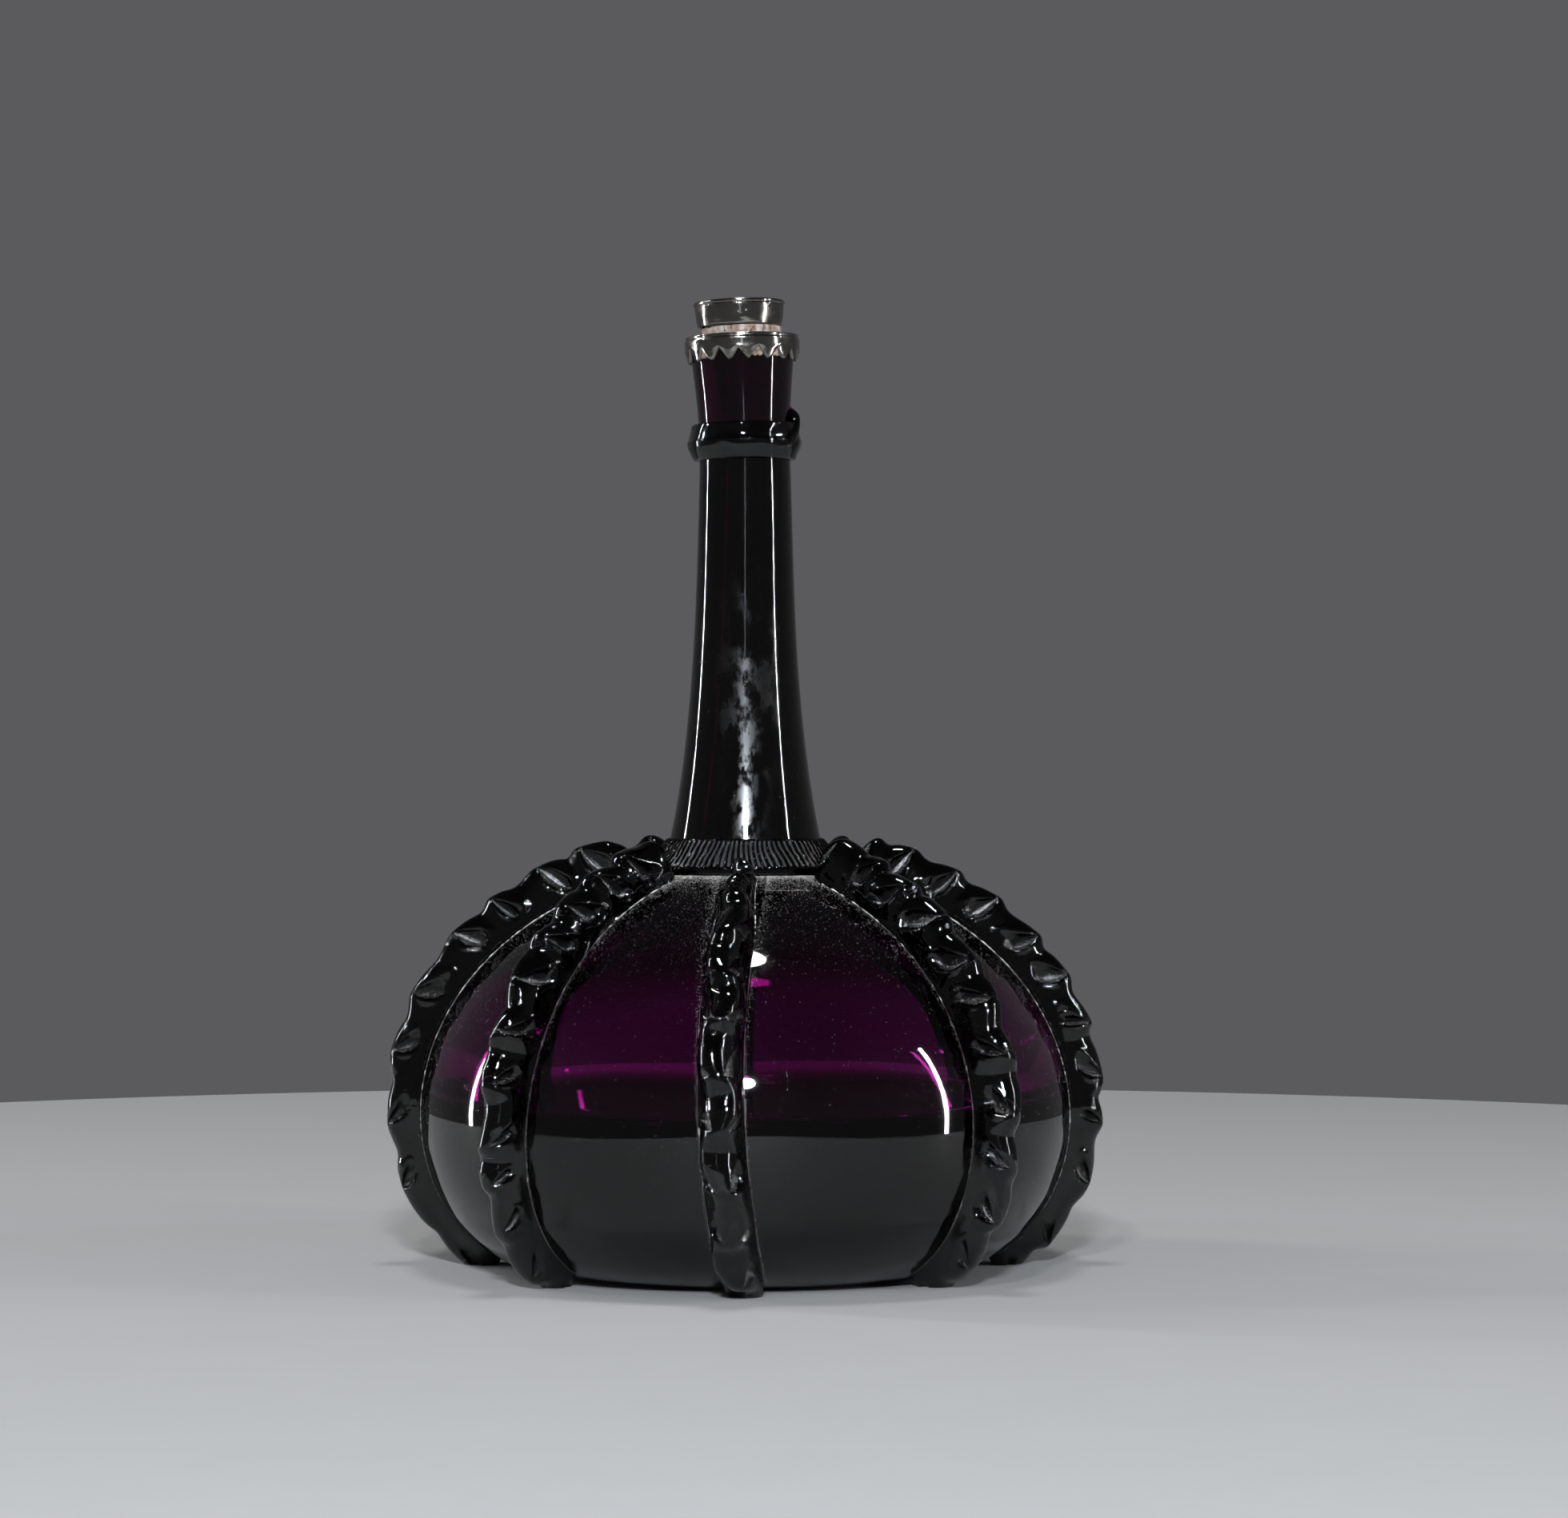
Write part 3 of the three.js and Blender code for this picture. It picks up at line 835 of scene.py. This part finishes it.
def blown(point):
    """The slow waves of free-blown glass, still at axis and mouth."""
    radius = hypot(point.x, point.y)
    inside = is_inside(point)
    size = mix(WAVES_ON_NECK, WAVES_ON_BODY, smooth(20 * MM, 50 * MM, radius))
    size *= WAVES_INSIDE if inside else 1
    size *= smooth(0, 12 * MM, radius) * (1 - smooth(MOUTH_HEIGHT - 12 * MM, MOUTH_HEIGHT, point.z))
    return leaned(wobble(point, size, 26, 5.0 if inside else 0.0))


def vessel():
    inner = []

    def shaped(point):
        inner.append(float(is_inside(point)))
        return blown(point)

    piece = turned("blown_vessel", vessel_outline(), VESSEL_GLASS, shaped)
    piece.data.attributes.new("inside", "FLOAT", "POINT").data.foreach_set("value", inner)
    finished(tidied(piece), "glass", "vessel")


# Ribs

def rib_height(angle):
    if angle < 0:
        return mix(RIB_HEIGHT_BELLY, RIB_HEIGHT_FOOT, sin(radians(angle)) ** 2)
    return mix(RIB_HEIGHT_BELLY, RIB_HEIGHT_SHOULDER, sin(radians(min(90, 2 * angle))))


def rib_angles(count):
    """Meridian angles at equal distances from a rib's foot to its top."""
    fine = spread(RIB_FOOT_ANGLE, angle_at(RIB_TOP_RADIUS), 1200)
    lengths = [0, *accumulate(dist(body_point(low), body_point(high)) for low, high in pairwise(fine))]
    return [fine[bisect_left(lengths, length - 1e-9)] for length in spread(0, lengths[-1], count)]


def rib_azimuth(index, share):
    return 45 * index + RIBS[index][1] * sin(pi * share)


def thinning(index, angle):
    """How thin the front trail has run near its top."""
    return smooth(*FRONT_TRAIL_THINS, angle) if index == 0 else 0


def rib_line(index):
    """The line along which a rib was trailed, with what its recipe has to know there."""
    rows = []
    count = 220
    for step, angle in enumerate(rib_angles(count)):
        radial, up = body_normal(angle)
        radius, height = body_point(angle)
        outward = around(1, rib_azimuth(index, step / count), 0)
        thin = thinning(index, angle)
        crest = (rib_height(angle) + 0.25 * MM) * mix(1, THIN_CREST, thin)
        rows.append((outward * radius + Vector((0, 0, height)), outward * radial + Vector((0, 0, up)),
                     Vector((-outward.y, outward.x, 0)), crest, mix(1, THIN_GIRTH, thin), radial / radius))
    points, *known = zip(*rows)
    return strand("rib_line", points, **dict(zip(("out", "aside", "crest", "girth", "hoop"), known)))


def rib(index):
    name, _, pinches, gather = RIBS[index]
    trail = FRONT_TRAIL if index == 0 else {}
    piece = grown(f"pinched_rib_{name}", rib_line(index), PINCHED_RIB, WORKED, Pinches=pinches,
                  Gather=gather, Seed=index, **trail)
    return finished(tidied(piece), "glass", f"rib_{name}")


# Rings of the neck

def patterned(name, outline, marks, material, **pattern):
    """A section taken round the axis. Each mark is a function of radius and height."""
    values = {key: [mark(r, z) for r, z in outline] for key, mark in marks.items()}
    section = strand(f"{name}_section", [(r, 0, z) for r, z in outline], closed=True, **values)
    return tidied(grown(name, section, PATTERNED_RING, material, **pattern))


def collar():
    top = NECK_FOOT_HEIGHT + COLLAR_RISE
    edge = body_point(angle_at(COLLAR_RADIUS), -0.1 * MM)
    brim = edge[0], edge[1] + COLLAR_EDGE
    crown = neck_radius(top) - 0.2 * MM, top
    corners = [
        near(edge, -4, -0.4), edge, near(brim, 0.1, 0), near(brim, -1.2, 1.1),
        (mix(crown[0], COLLAR_RADIUS, 0.47), mix(top, brim[1], 0.45)), near(crown, 1.2, -0.2),
        near(crown, 0.2, 0.2), near(crown, -0.4, -0.3), near((NECK_FOOT_RADIUS, NECK_FOOT_HEIGHT), -0.5, 0),
    ]
    low, high = brim[1] + 0.5 * MM, top - 0.1 * MM

    def fluted(radius, height):
        outer = smooth(0, 0.4 * MM, radius - neck_radius(height) - 0.2 * MM)
        started = smooth(low - 0.5 * MM, low + 0.4 * MM, height)
        return outer * started * (1 - smooth(high - 0.8 * MM, high, height) * 0.6)

    outline = ring_outline(corners, 0.5 * MM, 0.3 * MM)
    piece = patterned("milled_collar", outline, {"fluted": fluted}, MILLED, Steps=FLUTES * 9,
                      Repeats=FLUTES, Flutes=FLUTE_DEPTH, Lumps=1.1 * MM, Unevenness=0.9, Twist=7.0)
    finished(piece, "glass", "neck_foot_collar")


def string_ring_tail(high):
    """The end of the trail, which climbs off the ring into a hook."""
    rings = []
    for along in spread(0, 1, 44):
        half = mix(2.2 * MM, 1.5 * MM, along ** 2) * sqrt(1.01 - smooth(0.86, 1, along))
        centre = high - 2.4 * MM + TAIL_CLIMB * along ** 1.7 - half
        ring = []
        for bend in spread(0, tau, 18)[:-1]:
            radius = neck_radius(centre) + (0.45 + 1.1 * cos(bend)) * half
            height = centre + sin(bend) * half * 1.1
            ring.append(leaned(around(radius, TAIL_AZIMUTH + TAIL_SWEEP * along, height)))
        rings.append(ring)
    return lofted("string_ring_tail", [rings], WORKED)


def string_ring():
    """The wound trail, creased at mid height, with its end laid over it."""
    low = MOUTH_HEIGHT - STRING_RING_DROP
    middle, high = low + STRING_RING_HEIGHT / 2, low + STRING_RING_HEIGHT
    foot, waist, top = ((neck_radius(z), z) for z in (low, middle, high))
    outer = waist[0] + STRING_RING_DEPTH
    corners = [
        near(foot, -0.2, 0), (mix(foot[0], outer, 0.42), low + 0.15 * MM),
        (outer - 0.35 * MM, mix(low, middle, 0.7)), (outer, mix(low, middle, 1.02)),
        (outer - 0.3 * MM, mix(low, middle, 1.12)), (mix(top[0], outer, 0.62), high - 0.35 * MM),
        (mix(top[0], outer, 0.5), high), near(top, -0.2, 0.1), near(waist, -0.6, 0),
    ]

    def uneven(point):
        return leaned(wobble(point, 0.22 * MM, 160, 3.0))

    band = tidied(turned("string_ring_band", ring_outline(corners, 0.22 * MM, 0.5 * MM), WORKED, uneven))
    tail = string_ring_tail(high)
    joint = band.modifiers.new("join", "BOOLEAN")
    joint.operation = "UNION"
    joint.solver = "EXACT"
    joint.object = tail
    piece = added("wound_string_ring", evaluated(band), WORKED)
    bpy.data.objects.remove(tail)
    finished(tidied(piece), "glass", "string_ring")


# Silver mount

def mount_fit(height):
    return neck_radius(min(height, MOUTH_HEIGHT)) + 0.1 * MM


def dirt_in_notches(band):
    """Old dirt in the notches nearest to a few places round the mount."""
    edge = [MOUNT_TOP] * MOUNT_STEPS
    for vert in band.data.vertices:
        step = round(atan2(vert.co.x, -vert.co.y) / tau * MOUNT_STEPS) % MOUNT_STEPS
        edge[step] = min(edge[step], vert.co.z)
    under = -0.1 * MM
    tubes = []
    for azimuth in DIRTY_NOTCHES:
        about = round(azimuth / 360 * MOUNT_STEPS)
        middle = max(range(about - 20, about + 21), key=lambda step: edge[step % MOUNT_STEPS])
        rings = []
        for step in range(middle - 12, middle + 13):
            high = edge[step % MOUNT_STEPS] + 0.2 * MM
            low = min(MOUNT_BOTTOM + (0.7 + 0.15 * sin(step * 0.6)) * MM, high - 0.1 * MM)
            thick = 0.7 * MM * sqrt(1.02 - ((step - middle) / 12) ** 2)
            section = [(under, 0), (thick * 0.8, 0.05), (thick, 0.45), (thick * 0.85, 0.95), (under, 1)]
            ring = []
            for out, up in section:
                height = mix(low, high, up)
                ring.append(leaned(around(mount_fit(height) + out, 360 * step / MOUNT_STEPS, height)))
            rings.append(ring)
        tubes.append(rings)
    finished(lofted("dirt_in_notches", tubes, DIRT))


def mount():
    """A convex band, cut into tongues below and turned in over the glass above."""
    widest = mix(MOUNT_BOTTOM, MOUNT_TOP, 0.55)
    high = MOUNT_TOP - MOUNT_LIP_THICKNESS
    foot, belly, lip = ((mount_fit(z), z) for z in (MOUNT_BOTTOM, widest, high))
    top = lip[0], MOUNT_TOP
    wall, turned_in = MOUNT_WALL / MM, -MOUNT_LIP_WIDTH / MM
    corners = [
        near(foot, 0, 0.3), near(foot, 0.35, 0), near(foot, wall * 0.85, 0.35), near(belly, wall, -0.8),
        near(belly, wall, 0.5), near(lip, wall * 0.85, -0.5), near(lip, wall * 0.62, 0),
        near(top, wall * 0.62, -0.1), near(top, wall * 0.2, 0), near(top, turned_in, -0.15),
        near(lip, turned_in, 0.1), near(lip, -0.1, 0.1), belly,
    ]

    def toothed(radius, height):
        return min(1.0, max(0.0, (widest - height) / (widest - MOUNT_BOTTOM)))

    def dirt(radius, height):
        return 1 - smooth(0, 0.5 * MM, height - MOUNT_BOTTOM)

    outline = ring_outline(corners, 0.35 * MM, 0.35 * MM)
    piece = patterned("mouth_mount_band", outline, {"toothed": toothed, "grime": dirt}, MOUNT_SILVER,
                      Steps=MOUNT_STEPS, Repeats=MOUNT_TEETH, Phase=0.618, Unevenness=0.5,
                      Notches=MOUNT_TOOTH_HEIGHT, Tongue=0.26, Flare=0.14)
    dirt_in_notches(piece)
    for vert in piece.data.vertices:
        vert.co = leaned(vert.co)
    finished(piece, "silver", "mouth_mount")


# Cork and cap

def cork():
    """A tapered cork, crumbled on the outside, that runs up into the cap."""
    end = neck_radius(MOUTH_HEIGHT - CORK_DEPTH) - NECK_WALL - SEAT_GAP
    at_mouth = neck_radius(MOUTH_HEIGHT) - NECK_WALL - 2 * SEAT_GAP
    head = CAP_BOTTOM_RADIUS - CAP_WALL - 0.7 * MM
    top = LID_BOTTOM - SEAT_GAP
    corners = [
        (0, -CORK_DEPTH), (end, -CORK_DEPTH), (at_mouth, 0),
        near((CAP_BOTTOM_RADIUS, CAP_BOTTOM), -0.45, -0.15), near((head, CAP_BOTTOM), 0, -0.1),
        (head, top), (0, top),
    ]

    def crumbled(point):
        radius = hypot(point.x, point.y)
        if radius > 1 * MM:
            rough = noise.fractal(point * 420, 0.7, 2.2, 4) * 0.2 * MM
            pit = max(0.0, noise.noise(point * 620) - 0.35) * 0.9 * MM
            point = point * (1 - (abs(rough) + pit) / radius)
        return stoppered(point)

    piece = turned("old_cork", finely(rounded(corners, 0.8 * MM), 0.3 * MM), CORK, crumbled, sides=220)
    finished(tidied(piece), "cork", "cork", body="stopper")


def silver_turned(node, outline, dents, scale, seed):
    """A part of the cap, a little dented and set to one side of the cork."""
    def beaten(point):
        return stoppered(wobble(point, dents, scale, seed) - Vector((CAP_OFFSET, 0, 0)))

    piece = turned(f"silver_{node}", outline, CAP_SILVER, beaten)
    finished(tidied(piece), "silver", node, body="stopper")


def cap_wall():
    top = LID_BOTTOM + 0.05 * MM
    foot = CAP_BOTTOM_RADIUS
    corners = [
        (foot - CAP_WALL, CAP_BOTTOM + 0.2 * MM), (foot - CAP_WALL / 2, CAP_BOTTOM),
        (foot, CAP_BOTTOM + 0.1 * MM), (mix(foot, CAP_RADIUS, 0.55), mix(CAP_BOTTOM, top, 0.35)),
        (CAP_RADIUS, top), (CAP_RADIUS - CAP_WALL, top),
    ]
    outline = ring_outline(corners, 0.25 * MM, 0.4 * MM)
    silver_turned("cap_wall", outline, 0.07 * MM, 300, 9.0)


def cap_lid():
    rim = CAP_RADIUS + 0.3 * MM
    low, high = (rim, LID_BOTTOM), (rim, LID_BOTTOM + CAP_LID_THICKNESS)
    corners = [
        (0, LID_BOTTOM), near(low, -0.35, 0), near(low, 0, 0.3), near(high, 0, -0.35), near(high, -0.3, 0),
        near(high, -1.1, -0.1), near((rim * 0.6, high[1]), 0, 0.2), near((0, high[1]), 0, 0.3),
    ]
    outline = finely(rounded(corners, 0.3 * MM), 0.4 * MM)
    silver_turned("cap_lid", outline, 0.06 * MM, 260, 4.0)


# Dust and dirt, with painted glints and a painted highlight line among the dust

def on_body(angle, azimuth):
    """A point just above the body, and the direction out of the glass there."""
    radius, height = body_point(angle, 0.03 * MM)
    radial, up = body_normal(angle)
    return blown(around(radius, azimuth, height)), around(radial, azimuth, up)


def beside_rib(index, share, angle, off):
    """The same at a distance to one side of a rib's middle line."""
    radius, _ = body_point(angle)
    return on_body(angle, rib_azimuth(index, share) + degrees(off / radius))


def settled(name, places, largest, seed):
    """Crumbs of dust and painted glints at places, each a point and a direction out of the surface."""
    points, outs = zip(*places)
    finished(grown(name, strand(name, points, out=outs), CRUMBS, DUST_AND_GLINTS, Largest=largest, Seed=seed))


def dust_in_dents(pieces, chance):
    """Dust on the upward sides of the pinched dents."""
    places = []
    for piece in pieces:
        dents = piece.data.attributes["dent"].data
        for vert in piece.data.vertices:
            lying = smooth(0.3, 0.8, dents[vert.index].value) * smooth(-0.3, 0.8, vert.normal.z)
            if lying < 0.02 or vert.co.z < 2 * MM:
                continue
            for _ in range(3):
                if chance.random() < lying:
                    shift = Vector([chance.uniform(-0.22, 0.22) * MM for _ in range(3)])
                    out = vert.normal.copy()
                    places.append((vert.co + shift - out * shift.dot(out), out))
    return places


def dust_in_creases():
    """A thin uneven ridge of dust on both sides of each rib's foot, also painting a highlight line there."""
    tubes = []
    angles = rib_angles(ALONG_RIB)
    for index, side in RIB_SIDES:
        rings = []
        for step in range(8, ALONG_RIB - 16):
            share, angle = step / ALONG_RIB, angles[step]
            off = CREASE_OFFSET * mix(1, THIN_GIRTH, thinning(index, angle))
            place, out = beside_rib(index, share, angle, side * off)
            aside = Vector((-out.y, out.x, 0)).normalized()
            # The pale ridge is dust, and it is also a painted highlight line along the rib's foot.
            ridge = 0.03 + 0.05 * smooth(0.4, 1, share) + 0.2 * noise.noise(place * 900)
            ridge -= (1 - smooth(0.6, 0.95, share)) * (0.09 if index in CLEANER_DULLER_RIBS else 0.01)
            ridge = max(0.02, ridge) * MM
            place -= out * max(0, CREASE_SINK - ridge) * 2
            rings.append([place + (aside * cos(turn) + out * sin(turn)) * ridge
                          for turn in spread(0, tau, 5)[:-1]])
        tubes.append(rings)
    finished(lofted("dust_in_creases", tubes, DUST_AND_GLINTS))


def dust_beside_ribs(chance):
    """Grit along each rib, in bands that narrow from the shoulder down."""
    places = []
    angles = rib_angles(ALONG_RIB)
    for index, side in RIB_SIDES:
        count, gathered = (1300, 2.6) if index in CLEANER_DULLER_RIBS else (2300, 1.6)
        for _ in range(count):
            share = 1 - chance.random() ** gathered
            width = mix(0.15, 1.5, smooth(0.35, 1.0, share)) * MM
            off = RIB_WIDTH * 0.5 + abs(chance.gauss(0, 1)) * width + 0.05 * MM
            places.append(beside_rib(index, share, angles[int(share * ALONG_RIB)], side * off))
    return places


def strewn(chance, edge, spreading, count):
    """Specks that thin out from the collar's edge down the body."""
    angles = (edge - abs(chance.gauss(0, spreading)) for _ in range(count))
    return [on_body(angle, chance.uniform(0, 360)) for angle in angles if angle > DUST_LOWEST]


def dust_on_shoulder(chance):
    """Dust: a pale line under the collar and fine specks; a short row of pale crumbs paints glints."""
    edge = angle_at(COLLAR_RADIUS + 0.2 * MM)
    places = strewn(chance, edge, 1.2, 12000) + strewn(chance, edge, 4.5, 14000)
    # A short row of pale crumbs under the collar, which paints a row of glints.
    places += [on_body(edge - 7.6 + chance.gauss(0, 0.13), chance.uniform(9, 26)) for _ in range(160)]
    return places + strewn(chance, edge, 38, 12000)


# Finishes, recipes and pieces

VESSEL_GLASS = vessel_glass()
WORKED = worked_glass("amethyst_worked", 0.17)
MILLED = worked_glass("amethyst_milled", 0.38)
MOUNT_SILVER = silver_finish("mount_silver", 0.3, 0.9)
CAP_SILVER = silver_finish("cap_silver", 0.8, 0.45)
CORK = cork_finish()
# Pale powder for the dust, the painted glints and the painted highlight line.
DUST_AND_GLINTS = powder_finish("settled_dust", (0.42, 0.40, 0.38, 1), (0.78, 0.75, 0.72, 1))
DIRT = powder_finish("old_dirt", (0.09, 0.07, 0.055, 1), (0.36, 0.29, 0.23, 1))
PINCHED_RIB = pinched_rib_recipe()
PATTERNED_RING = patterned_ring_recipe()
CRUMBS = crumbs_recipe()
RIB_SIDES = [(index, side) for index in range(len(RIBS)) for side in (-1, 1)]

vessel()
ribs = [rib(index) for index in range(len(RIBS))]
collar()
string_ring()
mount()
cork()
cap_wall()
cap_lid()
dice = random.Random(11)
settled("grit_beside_ribs", dust_beside_ribs(dice), 0.12 * MM, 1)
settled("specks_on_shoulder", dust_on_shoulder(dice), 0.11 * MM, 2)
settled("dust_in_dents", dust_in_dents(ribs, dice), 0.15 * MM, 3)
dust_in_creases()


# Stage, camera and lights

FLOOR_PALE = (0.33, 0.33, 0.33, 1)
FLOOR_DARK = (0.3102, 0.3102, 0.3102, 1)
BACKDROP_LOW = (0.105, 0.105, 0.11, 1)
BACKDROP_HIGH = (0.035, 0.035, 0.038, 1)
AMBIENT = (0.24, 0.24, 0.24, 1)
WHITE = (1, 1, 1)
BLUISH = (0.84, 0.91, 1.0)
CENTRE = (0, 0, 0.12)


def stage():
    """A round pale table top."""
    finish = Finish("pale_floor")
    tint = finish.blend(finish.grain(40.0, 5.0, 0.7), FLOOR_DARK, FLOOR_PALE)
    edge = [around(STAGE_RADIUS, azimuth, 0) for azimuth in spread(0, 360, 256)[:-1]]
    floor = built("floor", edge, [range(len(edge))], finish.set(Base_Color=tint, Roughness=0.7))


def lamp(name, place, size, watts, colour=WHITE, aim=CENTRE, shape="ELLIPSE"):
    light = bpy.data.lights.new(name, "AREA")
    light.shape = shape
    light.size, light.size_y = size
    light.energy = watts
    light.color = colour
    holder = linked(name, light)
    holder.location = place
    holder.rotation_euler = (Vector(aim) - Vector(place)).to_track_quat("-Z", "Y").to_euler()


def backdrop():
    """Soft light all round, and a grey that only the eye, gloss and glass see."""
    world = bpy.data.worlds.new("studio")
    scene.world = world
    world.use_nodes = True
    world.node_tree.nodes.clear()
    graph = Graph(world.node_tree)
    seen = graph.out("LightPath", "Is Camera Ray")
    for key in ("Is Glossy Ray", "Is Transmission Ray"):
        seen = seen.math("MAXIMUM", graph.out("LightPath", key))
    _, _, up = graph.out("TexCoord", "Generated").xyz()
    wall = graph.blend(up.ramp(0.2, 0.75), BACKDROP_LOW, BACKDROP_HIGH)
    light = graph.out("Background", Color=graph.blend(seen, AMBIENT, wall), Strength=1.0)
    graph.node("OutputWorld", Surface=light)


stage()
backdrop()
scene.view_settings.view_transform = "Standard"

lamp("overhead_softbox", (-0.02, 0, 1.3), (0.24, 0.2), 5.0, aim=(-0.02, 0.001, 0.1))
lamp("front_lamp", around(1.2, 1, 0.6), (0.12, 0.12), 15.0, BLUISH)
lamp("kicker", around(1.25, -8, 0.95), (0.09, 0.09), 7.0)
for side, azimuth in (("left", -88), ("right", 88)):
    lamp(f"{side}_spot", around(1.25, azimuth, 0.75), (0.06, 0.06), 2.5, BLUISH)
lamp("neck_light", around(1.25, 0, 0.26), (0.03, 0.3), 0.1, BLUISH, (0, 0, 0.26), "RECTANGLE")
for side, azimuth, height, length in (("left", -108, 0.5, 1.7), ("right", 72, 0.3, 1.2)):
    place, level = around(1.3, azimuth, height), (0, 0, height)
    lamp(f"{side}_strip", place, (0.038, length), 7.5 * length, WHITE, level, "RECTANGLE")

eye = bpy.data.cameras.new("camera")
eye.lens = 97.35
eye.sensor_width = 36
eye.sensor_fit = "HORIZONTAL"
camera = linked("camera", eye)
camera.location = (0.0097, -1.06, 0.1262)
camera.rotation_euler = (radians(90), 0, 0)
scene.camera = camera
